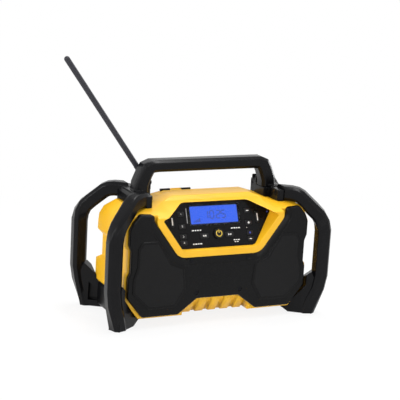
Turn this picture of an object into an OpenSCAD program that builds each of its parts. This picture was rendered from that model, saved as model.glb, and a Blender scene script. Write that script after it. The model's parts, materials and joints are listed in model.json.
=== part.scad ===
// Jobsite radio: a moulded housing with two loudspeakers, hung in four corner
// roll bars, with a fixed carrying handle and a folding aerial.
// Millimetres. X runs to the right seen from the front, -Y is the front, +Z is up.
// The origin is on the ground, at the middle of the four feet.

/* [Housing] */
// Half of the width of the housing
body_half = 170; // [160:1:180]
// Height of the housing's underside above the ground
body_bottom = 15; // [13:0.5:18]
// Height of the housing's flat top above the ground
body_top = 213.5; // [211:0.5:218]
// Half of the width of the flat top
plateau_half = 72; // [66:1:78]
// Height of the shoulders that carry the side beams
shoulder_z = 200; // [197:0.5:202]
// Distance from the centre to the housing's front face
body_front = 70; // [68:1:76]
// Distance from the centre to the housing's rear face
body_rear = 62; // [60:1:68]
// Width of the cut lower corners
corner_w = 28; // [24:1:32]
// Height of the cut lower corners
corner_h = 37; // [32:1:42]
// Depth of the long groove in each side
groove_d = 5; // [3:0.5:7]
// Wall thickness of the two housings
wall = 3; // [2.5:0.25:3.5]

/* [Control panel] */
// Half of the panel's width along its bottom edge
panel_low_half = 69.5; // [66:0.5:72]
// Half of the panel's width at its side corners
panel_mid_half = 108; // [104:0.5:110]
// Half of the panel's width along its top edge
panel_top_half = 61.6; // [58:0.5:65]
// Height of the panel's bottom edge above the ground
panel_low_z = 130; // [128:0.5:132]
// Height of the panel's side corners above its bottom edge
panel_mid_rise = 53.5; // [50:0.5:56]
// Height of the panel's top edge above its bottom edge
panel_rise = 73.9; // [70:0.5:75]
// Lean of the panel, from upright
panel_lean = 24.2; // [22:0.2:26]
// Thickness of the panel plate
panel_t = 3; // [2.5:0.25:3.5]
// Corner radius of the panel's two lower corners
panel_low_r = 11; // [6:0.5:13]
// Width of the raised yellow band around the panel
band_w = 12; // [10:0.5:13]
// Height by which the band stands out of the housing
band_proud = 9; // [8:0.5:10]
// Width of the display glass
display_w = 96; // [90:1:98]
// Height of the display glass
display_h = 36; // [32:1:38]

/* [Keys] */
// Width of a small key
key_w = 12; // [10:0.5:13]
// Height of a small key
key_h = 8; // [6:0.5:8.5]
// Height of a key above the panel
key_proud = 0.8; // [0.6:0.1:1.2]
// Travel of a key
key_travel = 0.8; // [0.5:0.1:0.9]
// Radius of the power button
power_r = 8.5; // [7.5:0.25:9]
// Height of the power button above the panel
power_proud = 4.5; // [3:0.5:5]
// Clearance around a key
key_fit = 0.3; // [0.2:0.05:0.4]

/* [Loudspeakers] */
// Distance of each loudspeaker from the centre
speaker_x = 110; // [108:1:112]
// Height of each loudspeaker's centre
speaker_z = 86; // [84:1:88]
// Radius of a loudspeaker's flange
speaker_r = 44; // [42:0.5:44]
// Radius of a magnet
magnet_r = 26; // [22:1:28]
// Height of the grille's face in front of the housing
grille_h = 9; // [8:0.5:10]
// Height of the raised sound pads on the grille
pad_h = 1.5; // [1:0.25:2]
// Wall thickness of the grille
grille_t = 2.5; // [2:0.25:3]

/* [Roll bars] */
// Width and depth of a bar
bar_w = 25; // [22:0.5:27]
// Cut edges of a bar
bar_edge = 5; // [3:0.5:7]
// Space between the housing's side and an upright bar
bar_gap = 11.7; // [10:0.1:14]
// Distance by which the upright bars stand in front of the housing
bar_forward = 13; // [12.5:0.5:16]
// Angle in plan between a bar's top arm and the housing's front
bar_turn = 34; // [33:0.5:35]
// Height of a side beam above the shoulder
beam_h = 19.5; // [18:0.5:20]
// Thickness of a rubber foot pad
pad_t = 2; // [1.5:0.25:2.5]

/* [Handle] */
// Height of the handle's top above the ground
handle_top = 271; // [266:1:276]
// Half of the straight length of the grip
grip_half = 93; // [89:1:96]
// Thickness of the grip
grip_t = 21; // [19:0.5:23]
// Depth of the handle from front to back
handle_d = 28; // [25:0.5:29]

/* [Aerial] */
// Length of the aerial from its pivot to its tip
aerial_len = 262; // [200:1:280]
// Radius of the aerial's rubber sleeve
aerial_r = 4.8; // [4:0.1:5]
// Lean of the aerial to the left, from upright
aerial_lean = 35.6; // [30:0.2:40]
// Distance of the aerial's pivot from the centre
aerial_x = 98; // [96:0.5:100]
// Distance of the aerial behind the centre
aerial_y = 22.5; // [22:0.5:24]
// Radius of the pivot pin
pin_r = 1.8; // [1.5:0.1:2]

/* [Battery and sockets] */
// Width of the battery bay
dock_w = 92; // [86:1:96]
// Height of the battery bay
dock_h = 114; // [105:1:118]
// Depth of the battery bay, in from the rear face
dock_d = 36; // [32:1:38]
// Width of the door over the sockets
door_w = 57; // [54:1:60]
// Length of the door, down the slope
door_len = 40; // [38:0.5:41]
// Thickness of the door
door_t = 2.5; // [2:0.25:2.75]

/* [Hidden] */
$fn = 48;

yellow = "#f7b926";
black = "#1d1d1f";
soft_black = "#2a2a2c";
steel = "#b9bcc0";
board_green = "#1f6b3a";
// A cut that passes right through
past = 1;
// Space between pieces that are screwed together
seat = 0.2;
// Running fit of a pin in its bore
run_fit = 0.06;
far = 400;

// Corners of the housing seen from the front
groove_low = 97;
groove_high = 134;
shoulder_in = body_half - 58;
body_right = [
    [body_half - corner_w, body_bottom],
    [body_half, body_bottom + corner_h],
    [body_half, groove_low - 7],
    [body_half - groove_d, groove_low],
    [body_half - groove_d, groove_high],
    [body_half, groove_high + 7],
    [body_half, shoulder_z - 31],
    [body_half - 7, shoulder_z - 16],
    [body_half - 20, shoulder_z - 1.5],
    [shoulder_in, shoulder_z],
    [plateau_half, body_top]];
// Corners of the housing seen from the right
slope_top = [12, body_top];
slope_low = [body_rear - 11, body_top - 31.5];
brow_back = [-body_front + 34, body_top - 6.5];
brow_front = [-body_front, body_top - 21.5];
body_side = [
    [-body_front, body_bottom],
    [body_rear - 8, body_bottom],
    [body_rear, body_bottom + 9],
    [body_rear, 88],
    [body_rear - 4, 155],
    slope_low,
    slope_top,
    [brow_back[0] + 7, body_top],
    brow_back,
    brow_front];

// Panel: its outline seen from the front, and its plane
panel_corners = mirrored([
    [panel_low_half, panel_low_z],
    [panel_mid_half, panel_low_z + panel_mid_rise],
    [panel_top_half, panel_low_z + panel_rise]]);
panel_y = -body_front + 0.2;
panel_mid_r = 3;
panel_top_r = 20;
panel_radii = [panel_low_r, panel_mid_r, panel_top_r, panel_top_r, panel_mid_r, panel_low_r];
// Ledge that the panel plate rests on
ledge_w = 1.6;
board_depth = 8.4;
board_t = 1.6;

// Keys on the panel: x, and the distance up the panel from its bottom edge
key_column_x = 62.5;
key_rows = [60, 39, 21.5, 11];
key_flange = 0.6;
switch_gap = 0.4;
track_x = 23.5;
track_up = 21;
power_x = 2.5;
power_up = 23.5;
rocker_x = 80;
rocker_up = 48;
rocker_w = 7;
rocker_h = 20;
display_up = 57;

// Roll bars
post_x = body_half + bar_gap + bar_w / 2;
post_y = body_front + bar_forward;
arm_z = shoulder_z + bar_w / 2 + seat;
beam_in = body_half - 53;
beam_nose = beam_in + 12;
beam_out = beam_nose + 17;
beam_top = shoulder_z + beam_h;
rail_half = 46;
foot_z = 1;
arm_end = (post_x - beam_nose - seat) / cos(bar_turn);
// Distance from the centre to the near edge of an arm's end
bar_back = post_y - arm_end * sin(bar_turn) - bar_w / 2 / cos(bar_turn) - seat;

// Handle
foot_floor = beam_top - 3;
foot_t = 4;
handle_foot_half = bar_back - seat;
handle_screw_x = beam_nose + 2;
handle_screw_y = handle_foot_half - 5.3;
handle_screw_r = 3.9;
handle_foot_out = beam_out - 5;

// Aerial
aerial_z = shoulder_z + 27.5;
tang_t = 8.2;
ear_t = 3;
ear_r = 6.5;
clip_x = beam_in - 5;
clip_w = 8;

// Battery bay and sockets
dock_low = body_bottom + 9;
dock_wall = 2.5;
dock_front = body_rear - dock_d;
dock_post = 6.4;
slope_angle = atan2(slope_top[1] - slope_low[1], slope_low[0] - slope_top[0]);
door_x = -48;
door_up = 4.3;
hinge_up = 1.5;
hinge_out = 1.3;
hinge_r = 2.4;
hinge_pin_r = 1.1;
knuckle_half = 10;
tray_deep = 22;
inlet_x = 105;
inlet_z = 85;

// Boards and power supply
main_board_half = 62;
main_board_low = 36;
main_board_high = 122;
dock_post_x = 40;
dock_post_z = [46, 112];
supply_x = 106;
supply_y = 32;
supply_w = 48;
supply_d = 36;
supply_h = 38;

// Screws
grille_screw_spots = [[52.5, 112], [40.6, 55.6]];
housing_screw_spots = [[158, 60], [158, 160]];
cage_screw_y = 44;
cage_screw_x = body_half - corner_w - 2;
cage_screw_z = body_bottom - 3;
housing_screw_seat = body_rear - 22;
housing_screw_len = housing_screw_seat + 20;

// Right half of an outline, from the bottom up, made whole
function mirrored(half) = concat(half,
    [for (i = [len(half) - 1 : -1 : 0]) [-half[i][0], half[i][1]]]);

// Outward normal of the edge from a to b, on an outline that runs anticlockwise
function edge_out(a, b) = [b[1] - a[1], a[0] - b[0]] / norm(b - a);

// Outline moved outward by d, or inward where d is negative, with sharp corners
function outset(line, d) = [for (i = [0 : len(line) - 1])
    let (count = len(line),
        before = edge_out(line[(i + count - 1) % count], line[i]),
        after = edge_out(line[i], line[(i + 1) % count]))
    line[i] + d * (before + after) / (1 + before * after)];

// Corner b of a line from a to c, rounded to radius r by short steps
function corner_arc(a, b, c, r) =
    let (u = (a - b) / norm(a - b), v = (c - b) / norm(c - b),
        half = acos(u * v) / 2,
        centre = b + (u + v) / norm(u + v) * r / sin(half),
        start = b + u * r / tan(half) - centre,
        side = u[0] * v[1] - u[1] * v[0] > 0 ? -1 : 1,
        steps = max(2, ceil((180 - 2 * half) / 14)))
    [for (k = [0 : steps]) let (t = side * k * (180 - 2 * half) / steps)
        centre + [start[0] * cos(t) - start[1] * sin(t), start[0] * sin(t) + start[1] * cos(t)]];

// Outline with its corners rounded to the radii
function rounded(line, radii) = [for (i = [0 : len(line) - 1])
    let (count = len(line))
    each corner_arc(line[(i + count - 1) % count], line[i], line[(i + 1) % count], radii[i])];

function all_round(line, r) = rounded(line, [for (p = line) r]);

// The panel's outline moved outward by d, with its corners kept concentric
function panel_line(d) = rounded(outset(panel_corners, d), [for (r = panel_radii) max(r + d, 0.5)]);

// Section of a bar or handle: eight points around its centre
function ring(centre, across, deep, edge) =
    let (a = norm(across), d = norm(deep), u = across / a, v = deep / d)
    [for (p = [[a, d - edge], [a - edge, d], [edge - a, d], [-a, d - edge],
            [-a, edge - d], [edge - a, -d], [a - edge, -d], [a, edge - d]])
        centre + u * p[0] + v * p[1]];

// A solid through rings of eight points each
module through_rings(rings) {
    last = len(rings) - 1;
    sides = [for (i = [0 : last - 1], k = [0 : 7])
        let (m = (k + 1) % 8)
        each [[8 * i + k, 8 * i + 8 + k, 8 * i + 8 + m], [8 * i + k, 8 * i + 8 + m, 8 * i + m]]];
    ends = [[for (k = [0 : 7]) k], [for (k = [7 : -1 : 0]) 8 * last + k]];
    polyhedron([for (r = rings) each r], concat(sides, ends));
}

// Drawn seen from the front and pulled from y0 to y1
module along_y(y0, y1) {
    translate([0, y1, 0]) rotate([90, 0, 0]) linear_extrude(y1 - y0) children();
}

// Drawn seen from the right and pulled from x0 to x1
module along_x(x0, x1) {
    translate([x0, 0, 0]) rotate([90, 0, 90]) linear_extrude(x1 - x0) children();
}

module box(low, high) {
    translate(low) cube(high - low);
}

// A rod along Y, from y0 to y1
module rod_y(x, z, r, y0, y1) {
    translate([x, y0, z]) rotate([-90, 0, 0]) cylinder(r = r, h = y1 - y0);
}

// A rod along X, from x0 to x1
module rod_x(y, z, r, x0, x1) {
    translate([x0, y, z]) rotate([0, 90, 0]) cylinder(r = r, h = x1 - x0);
}

module both_sides() {
    children();
    mirror([1, 0, 0]) children();
}

module four_corners() {
    both_sides() {
        children();
        mirror([0, 1, 0]) children();
    }
}

// Local X across, Y up the panel, Z out of it
module on_panel(x = 0, up = 0) {
    translate([0, panel_y, panel_low_z]) rotate([90 - panel_lean, 0, 0])
        translate([x, up, 0]) children();
}

// Local X across, Y down the rear slope, Z out of it
module on_slope(x = 0, down = 0) {
    translate([0, slope_top[0], slope_top[1]]) rotate([-slope_angle, 0, 0])
        translate([x, down, 0]) children();
}

// The housing's outer shape grown by d
module body_shape(d) {
    intersection() {
        along_y(-far, far) polygon(outset(mirrored(body_right), d));
        along_x(-far, far) polygon(outset(body_side, d));
    }
}

module front_half() { box([-far, -far, -far], [far, 0, far]); }
module rear_half() { box([-far, 0, -far], [far, far, far]); }

// The space in front of a plane at depth n in the panel, inside its outline
module panel_space(grow, n) {
    intersection() {
        along_y(-far, 0) polygon(panel_line(grow));
        on_panel() translate([-far, -far, n]) cube(2 * far);
    }
}

// The outline of the raised band around the panel
module band_shape() {
    intersection() {
        along_y(-body_front - band_proud, -body_front + wall) polygon(panel_line(band_w));
        along_x(-far, far) polygon([
            [-body_front - band_proud, 0],
            [-body_front + wall, 0],
            brow_front + [wall, 1.3],
            brow_front,
            brow_front - [band_proud, 4]]);
    }
}

// The sloping lower front, with its upright ribs
scoop_half = 62;
scoop_top = 45;
scoop_back = 22;
rib_w = 14;
rib_step = 24;
module scoop(grow) {
    along_x(-scoop_half - grow, scoop_half + grow) polygon([
        [-body_front - past, scoop_top + grow * 1.4],
        [-body_front + scoop_back + grow * 1.4, body_bottom - past],
        [-body_front - past, body_bottom - past]]);
}

module scoop_ribs() {
    for (k = [-2 : 2]) along_x(k * rib_step - rib_w / 2, k * rib_step + rib_w / 2)
        polygon([
            [-body_front + 0.5, scoop_top - 1],
            [-body_front + 0.5, scoop_top - 9],
            [-body_front + scoop_back - 7, body_bottom],
            [-body_front + scoop_back + 1, body_bottom]]);
}

// A screw boss joined to the housing's side wall
module side_boss(x, z, y0, y1) {
    rod_y(x, z, 6, y0, y1);
    box([x, y0, z - 2.5], [body_half - 1, y1, z + 2.5]);
}

module front_housing() {
    color(yellow) difference() {
        union() {
            intersection() {
                front_half();
                union() {
                    difference() {
                        body_shape(0);
                        body_shape(-wall);
                    }
                    intersection() {
                        body_shape(0);
                        union() {
                            panel_space(wall, -panel_t - wall);
                            scoop(wall);
                        }
                    }
                }
            }
            band_shape();
            both_sides() for (s = housing_screw_spots) side_boss(s[0], s[1], -30, 0);
            both_sides() for (s = grille_screw_spots)
                rod_y(s[0], s[1], 4, -body_front + wall - past, -body_front + wall + 10);
        }
        panel_space(0, -panel_t);
        panel_space(-ledge_w, -panel_t - wall - 5);
        difference() {
            scoop(0);
            scoop_ribs();
        }
        both_sides() {
            rod_y(speaker_x, speaker_z, speaker_r - 6, -body_front - past, -body_front + wall + past);
            for (s = housing_screw_spots) rod_y(s[0], s[1], 1.6, -24, past);
            for (s = grille_screw_spots) rod_y(s[0], s[1], 1.5, -body_front - past, -body_front + wall + 8);
            translate([cage_screw_x, -cage_screw_y - 7, body_bottom - past])
                cylinder(r = 2, h = 2 * wall + 2 * past);
        }
    }
}

// Notch in each rear corner, where the side groove runs round
module corner_notch() {
    both_sides() along_x(122, far) polygon([
        [body_rear - 15, groove_low],
        [body_rear + 8, groove_low - 13],
        [body_rear + 8, groove_high + 11],
        [body_rear - 15, groove_high]]);
}

module corner_notch_wall() {
    both_sides() along_x(122 - wall, far) polygon([
        [body_rear - 15 - wall, groove_low - 1],
        [body_rear + 8, groove_low - 13 - wall],
        [body_rear + 8, groove_high + 11 + wall],
        [body_rear - 15 - wall, groove_high + 1]]);
}

module rear_housing() {
    door_left = door_x - door_w / 2;
    door_right = door_x + door_w / 2;
    color(yellow) difference() {
        union() {
            intersection() {
                rear_half();
                union() {
                    difference() {
                        body_shape(0);
                        body_shape(-wall);
                    }
                    intersection() {
                        body_shape(0);
                        corner_notch_wall();
                    }
                }
            }
            both_sides() for (s = housing_screw_spots)
                intersection() {
                    body_shape(0);
                    side_boss(s[0], s[1], 0, body_rear);
                }
            on_slope(door_x - knuckle_half) {
                translate([0, hinge_up, hinge_out]) rotate([0, 90, 0])
                    cylinder(r = hinge_r, h = 2 * knuckle_half);
                box([0, hinge_up - hinge_r, -past], [2 * knuckle_half, hinge_up + hinge_r, hinge_out]);
            }
        }
        corner_notch();
        box([-dock_w / 2 - dock_wall, dock_front, dock_low - dock_wall],
            [dock_w / 2 + dock_wall, far, dock_low + dock_h + dock_wall]);
        box([inlet_x - 12, body_rear - 14, inlet_z - 8], [inlet_x + 12, far, inlet_z + 8]);
        both_sides() for (s = housing_screw_spots) {
            rod_y(s[0], s[1], 1.9, -past, far);
            rod_y(s[0], s[1], 4, housing_screw_seat, far);
        }
        both_sides() translate([cage_screw_x, cage_screw_y + 7, body_bottom - past])
            cylinder(r = 2, h = 2 * wall + 2 * past);
        on_slope() {
            box([door_left - 0.5, door_up - 0.4, -tray_deep],
                [door_right + 0.5, door_up + door_len + 0.5, past]);
            for (x = [[door_left - 0.3, door_x - knuckle_half], [door_x + knuckle_half, door_right + 0.3]]) {
                translate([x[0], hinge_up, hinge_out]) rotate([0, 90, 0])
                    cylinder(r = hinge_r + 0.5, h = x[1] - x[0]);
                box([x[0], hinge_up, hinge_out - hinge_r - 0.5], [x[1], door_up, hinge_out + 3]);
            }
            translate([door_left - 5, hinge_up, hinge_out]) rotate([0, 90, 0])
                cylinder(r = hinge_pin_r, h = door_w + 10);
        }
        translate([-aerial_x, aerial_y, shoulder_z - 30]) cylinder(r = 2.2, h = far);
    }
}

grille_right = [
    [39, scoop_top],
    [73, body_bottom + 4.3],
    [body_half - corner_w - 3.6, body_bottom + 4.3],
    [body_half - 4, body_bottom + corner_h + 2.3],
    [body_half - 4, groove_low - 8],
    [body_half - 3 - groove_d, groove_low],
    [body_half - 3 - groove_d, groove_high],
    [body_half - 4, groove_high + 10],
    [body_half - 4, shoulder_z - 31],
    [body_half - 10, shoulder_z - 18],
    [body_half - 22, shoulder_z - 4],
    [panel_mid_half + 16, shoulder_z - 6],
    [panel_mid_half + 15, panel_low_z + panel_mid_rise - 1],
    [panel_low_half + 6, panel_low_z - band_w - 0.3]];

grille_r = 6;
function grille_line(d) =
    let (line = outset(mirrored(grille_right), d), last = len(grille_right) - 1)
    rounded(line, [for (i = [0 : len(line) - 1])
        i == last || i == last + 1 ? panel_low_r + band_w - d : grille_r]);
// A shallow channel follows the raised band
channel_w = 13;
channel_d = 1.3;

// Raised pad in front of each loudspeaker
sound_pad = [[-48, -22], [-30, -52], [19, -53], [48, -24], [48, 0], [41, 22],
    [41, 52], [34, 64], [5, 64], [-20, 23], [-44, 14]];

module speaker_grille() {
    face = -body_front - grille_h;
    color(black) difference() {
        union() {
            difference() {
                along_y(face, -body_front) polygon(grille_line(0));
                along_y(face + grille_t, -body_front + past) polygon(grille_line(-grille_t));
            }
            both_sides() {
                along_y(face - pad_h, face + past)
                    translate([speaker_x, speaker_z]) polygon(all_round(sound_pad, 3));
                for (s = grille_screw_spots) rod_y(s[0], s[1], 5.5, face, -body_front);
            }
        }
        both_sides() for (s = grille_screw_spots) {
            rod_y(s[0], s[1], 3.8, face - 3, face + 3);
            rod_y(s[0], s[1], 1.8, face, -body_front + past);
        }
        along_y(-far, 0) polygon(panel_line(band_w + 0.3));
        along_y(-far, face + channel_d) polygon(panel_line(band_w + channel_w));
    }
}

module key_hole(x, up, w, h) {
    translate([x - w / 2 - key_fit, up - h / 2 - key_fit, -panel_t - past])
        cube([w + 2 * key_fit, h + 2 * key_fit, panel_t + 2 * past]);
}

module panel_plate() {
    color(black) {
        difference() {
            intersection() {
                along_y(-far, 0) polygon(panel_line(-seat));
                on_panel() translate([-far, -far, -panel_t]) cube([2 * far, 2 * far, panel_t]);
            }
            on_panel() {
                translate([-display_w / 2, display_up - display_h / 2, -1.6])
                    cube([display_w, display_h, panel_t]);
                translate([-display_w / 2 + 3, display_up - display_h / 2 + 3, -panel_t - past])
                    cube([display_w - 6, display_h - 6, panel_t]);
                for (side = [-1, 1]) {
                    for (row = key_rows) key_hole(side * key_column_x, row, key_w, key_h);
                    key_hole(side * track_x, track_up, key_w + 4, key_h + 1);
                    key_hole(side * rocker_x, rocker_up, rocker_w, rocker_h);
                }
                translate([power_x, power_up, -panel_t - past])
                    cylinder(r = power_r + key_fit, h = panel_t + 2 * past);
            }
        }
        on_panel() for (p = [[-90, 54], [90, 54], [-42, 9], [42, 9]])
            translate([p[0], p[1], -board_depth]) cylinder(r = 1.8, h = board_depth - panel_t + 0.5);
    }
}

module display_glass() {
    color("#20242c") on_panel()
        translate([-display_w / 2 + 0.1, display_up - display_h / 2 + 0.1, -1.6])
            cube([display_w - 0.2, display_h - 0.2, 1.6]);
}

module display_module() {
    color("#3b74ff") on_panel()
        translate([-display_w / 2 + 1, display_up - display_h / 2 + 1, -board_depth])
            cube([display_w - 2, display_h - 2, board_depth - panel_t]);
}

// A push switch, which the key above it reaches at the end of its travel
module switch_dot(x, up) {
    top = -panel_t - 1.4 - key_travel - switch_gap;
    translate([x, up, -board_depth - 0.1]) cylinder(r = 2.2, h = top + board_depth + 0.1);
}

module control_board() {
    color(board_green) {
        on_panel() {
            translate([0, 0, -board_depth - board_t]) linear_extrude(board_t) polygon(mirrored([
                [panel_low_half - 2, 5],
                [panel_mid_half - 14, panel_mid_rise / cos(panel_lean)],
                [panel_top_half - 6, panel_rise / cos(panel_lean) - 8]]));
            for (side = [-1, 1]) {
                for (row = key_rows) switch_dot(side * key_column_x, row);
                switch_dot(side * track_x, track_up);
                switch_dot(side * rocker_x, rocker_up);
            }
            switch_dot(power_x, power_up);
        }
    }
}

// A key: its cap through the panel, and a flange that holds it behind
module square_key(x, up, w, h) {
    on_panel(x, up) {
        translate([-w / 2, -h / 2, -panel_t - 1]) cube([w, h, panel_t + 1 + key_proud]);
        translate([-w / 2 - key_flange, -h / 2 - key_flange, -panel_t - 1.4])
            cube([w + 2 * key_flange, h + 2 * key_flange, 1.2]);
    }
}

module column_key(side, row) {
    color(soft_black) square_key(side * key_column_x, key_rows[row], key_w, key_h);
}

module track_key(side) {
    color(soft_black) square_key(side * track_x, track_up, key_w + 4, key_h + 1);
}

module rocker_key(side) {
    color(soft_black) square_key(side * rocker_x, rocker_up, rocker_w, rocker_h);
}

module power_button() {
    color(soft_black) on_panel(power_x, power_up) {
        translate([0, 0, -panel_t - 1]) cylinder(r = power_r, h = panel_t + 1 + power_proud);
        translate([0, 0, -panel_t - 1.4]) cylinder(r = power_r + 1.2, h = 1.2);
    }
}

// Local Z runs back from the front wall's inner face
module at_speaker(side) {
    translate([side * speaker_x, -body_front + wall, speaker_z]) rotate([-90, 0, 0]) children();
}

module speaker_frame(side) {
    throat = speaker_r - 6;
    color(steel) at_speaker(side) rotate_extrude() polygon([
        [throat, 0], [speaker_r, 0], [speaker_r, 3], [throat + 3, 3], [24, 24], [24, 27],
        [16, 27], [16, 24.5], [20, 22], [throat, 2.5]]);
}

module speaker_cone(side) {
    edge = speaker_r - 6.3;
    color("#333336") at_speaker(side) rotate_extrude() polygon([
        [0, 13], [8, 14], [12, 15.6], [edge - 5, 0.8], [edge, 0.4], [edge, 1.6],
        [edge - 4.5, 2.2], [13, 17.4], [0, 17.4]]);
}

module speaker_magnet(side) {
    color("#4a4a4d") at_speaker(side) translate([0, 0, 27]) cylinder(r = magnet_r, h = 14);
}

module main_board() {
    y1 = dock_front - dock_wall - dock_post;
    color(board_green) difference() {
        box([-main_board_half, y1 - board_t, main_board_low], [main_board_half, y1, main_board_high]);
        for (x = [-dock_post_x, dock_post_x], z = dock_post_z)
            rod_y(x, z, 1.6, y1 - board_t - past, y1 + past);
    }
    color(soft_black) {
        box([-26, y1 - board_t - 3, 80], [-6, y1 - board_t, 100]);
        box([10, y1 - board_t - 12, 84], [34, y1 - board_t, 96]);
        rod_y(-30, 60, 6, y1 - board_t - 14, y1 - board_t);
        rod_y(-8, 58, 6, y1 - board_t - 14, y1 - board_t);
    }
}

module power_supply() {
    floor_z = body_bottom + wall;
    color(steel) {
        translate([supply_x - supply_w / 2, supply_y - supply_d / 2, floor_z])
            cube([supply_w, supply_d, supply_h]);
        translate([supply_x - supply_w / 3, supply_y - supply_d * 2 / 3, floor_z + 6])
            cube([supply_w * 2 / 3, supply_d * 4 / 3, supply_h - 12]);
        translate([supply_x - supply_w / 2 - 8, supply_y - 10, floor_z]) cube([supply_w + 16, 20, 3]);
    }
}

module battery_dock() {
    half = dock_w / 2;
    color(black) {
        difference() {
            intersection() {
                body_shape(0);
                box([-half - dock_wall, dock_front - dock_wall, dock_low - dock_wall],
                    [half + dock_wall, far, dock_low + dock_h + dock_wall]);
            }
            box([-half, dock_front, dock_low], [half, far, dock_low + dock_h]);
        }
        for (side = [-1, 1]) mirror([side < 0 ? 1 : 0, 0, 0]) {
            box([half - 6, dock_front + 9, dock_low + 8], [half + 0.5, dock_front + 12, dock_low + 84]);
        }
        box([-22, dock_front - 0.5, dock_low + 84], [22, dock_front + 10, dock_low + 98]);
        for (x = [-dock_post_x, dock_post_x], z = dock_post_z)
            rod_y(x, z, 3.2, dock_front - dock_wall - dock_post, dock_front);
    }
}

module battery_terminals() {
    color("#c9a34a") for (x = [-15, -5, 5, 15])
        box([x - 0.5, dock_front + 2.5, dock_low + 68], [x + 0.5, dock_front + 8.5, dock_low + 84]);
}

// The rim that holds the tray behind the rear slope, from x0 to x1
module tray_flange(x0, x1) {
    rotate([slope_angle, 0, 0]) translate([0, -slope_top[0], -slope_top[1]]) intersection() {
        body_shape(-wall - seat / 2);
        on_slope() box([x0, door_up - 2.5, -wall - seat - 2], [x1, door_up + door_len + 2.5, -wall - seat]);
    }
}

module socket_tray() {
    left = door_x - door_w / 2 + 0.2;
    right = door_x + door_w / 2 - 0.2;
    color(black) on_slope() difference() {
        union() {
            box([left, door_up + 0.6, -tray_deep], [right, door_up + door_len - 0.2, -door_t - seat]);
            tray_flange(left - 4, right + 4);
        }
        box([left + 2, door_up + 2.6, -tray_deep + 2],
            [right - 2, door_up + door_len - 2.2, past]);
        box([door_x - 20, door_up + 8, -tray_deep - past], [door_x - 6.5, door_up + 16, 0]);
        translate([door_x + 14, door_up + 12, -tray_deep - past]) cylinder(r = 4, h = 9);
    }
}

// The two shells of the sockets stand in the tray's floor
module usb_socket() {
    color(steel) on_slope() difference() {
        box([door_x - 19.8, door_up + 8.2, -tray_deep - 8], [door_x - 6.7, door_up + 15.8, -tray_deep + 5]);
        box([door_x - 19.2, door_up + 8.8, -tray_deep - 6], [door_x - 7.3, door_up + 15.2, -tray_deep + 6]);
    }
}

module aux_socket() {
    color(soft_black) on_slope(door_x + 14, door_up + 12) difference() {
        translate([0, 0, -tray_deep - 8]) cylinder(r = 3.9, h = 13);
        translate([0, 0, -tray_deep - 6]) cylinder(r = 1.8, h = 13);
    }
}

module socket_door() {
    left = door_x - door_w / 2;
    right = door_x + door_w / 2;
    color(black) on_slope() difference() {
        union() {
            box([left, door_up, -door_t], [right, door_up + door_len, 0]);
            box([door_x - 8, door_up + door_len - 6, -past], [door_x + 8, door_up + door_len - 2, 1.2]);
            for (x = [[left, door_x - knuckle_half - 0.3], [door_x + knuckle_half + 0.3, right]]) {
                translate([x[0], hinge_up, hinge_out]) rotate([0, 90, 0])
                    cylinder(r = hinge_r, h = x[1] - x[0]);
                box([x[0], hinge_up, hinge_out - hinge_r + 0.1], [x[1], door_up + 2, hinge_out - 1.3]);
            }
        }
        translate([left - past, hinge_up, hinge_out]) rotate([0, 90, 0])
            cylinder(r = hinge_pin_r + run_fit, h = door_w + 2 * past);
    }
}

module door_hinge_pin() {
    color(steel) on_slope(door_x - door_w / 2, 0)
        translate([0, hinge_up, hinge_out]) rotate([0, 90, 0])
            cylinder(r = hinge_pin_r, h = door_w);
}

module power_inlet() {
    color(black) difference() {
        union() {
            box([inlet_x - 11.8, body_rear - 14, inlet_z - 7.8], [inlet_x + 11.8, body_rear - 0.4, inlet_z + 7.8]);
            box([inlet_x - 10, body_rear - 22, inlet_z - 6], [inlet_x + 10, body_rear - 14 + 0.1, inlet_z + 6]);
        }
        box([inlet_x - 9, body_rear - 12, inlet_z - 4.5], [inlet_x + 9, far, inlet_z + 4.5]);
    }
    color(steel) for (x = [-4.3, 4.3]) rod_y(inlet_x + x, inlet_z, 1.2, body_rear - 12.5, body_rear - 7);
}

// A point on a front right bar: distance inward from the post, and height
function bar_point(inward, z) = [post_x - inward * cos(bar_turn), -post_y + inward * sin(bar_turn), z];

// Stations of a bar, from its end at the side beam down to its foot:
// distance inward, height, and the section's turn in plan
bar_stations = [
    [arm_end, arm_z, bar_turn],
    [arm_end * 0.76, arm_z, bar_turn],
    [arm_end * 0.64, arm_z - 1.5, bar_turn],
    [arm_end * 0.55, arm_z - 5, bar_turn],
    [21, arm_z - 24, bar_turn],
    [10, arm_z - 34, bar_turn * 0.8],
    [3, arm_z - 46, bar_turn * 0.4],
    [0, arm_z - 61, 0],
    [0, 72, 0],
    [4, 48, 0],
    [12, 24, bar_turn * 0.3],
    [19, foot_z, bar_turn * 0.5]];

function bar_spot(i) = bar_point(bar_stations[i][0], bar_stations[i][1]);

function bar_ring(i) =
    let (last = len(bar_stations) - 1,
        c = bar_spot(i),
        turn = bar_stations[i][2],
        into = i == 0 ? c - bar_spot(0) : c - bar_spot(i - 1),
        onward = i == last ? c - bar_spot(i) : bar_spot(i + 1) - c,
        a = i == 0 ? onward / norm(onward) : into / norm(into),
        b = i == last ? a : onward / norm(onward),
        along = (a + b) / norm(a + b),
        mitre = 1 / sqrt((1 + a * b) / 2),
        deep = [sin(turn), cos(turn), 0],
        across = cross(along, deep))
    i == 0 ? ring(c, [0, 0, -bar_w / 2], [0, bar_w / 2 / cos(bar_turn), 0], bar_edge)
    : i == last ? ring(c, [-cos(turn), sin(turn), 0] * bar_w / 2, deep * bar_w / 2, bar_edge)
    : ring(c, across / norm(across) * (-bar_w / 2 * mitre), deep * bar_w / 2, bar_edge);

// Local X runs inward from the post, Y runs back and Z up, for the front right bar
module bar_plane() {
    translate([post_x, -post_y, 0]) mirror([1, 0, 0]) rotate([0, 0, bar_turn]) children();
}

gusset_half = bar_w / 2 - 1.5;
foot_in = 24;
foot_len = 28;
foot_w = 13;

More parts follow.
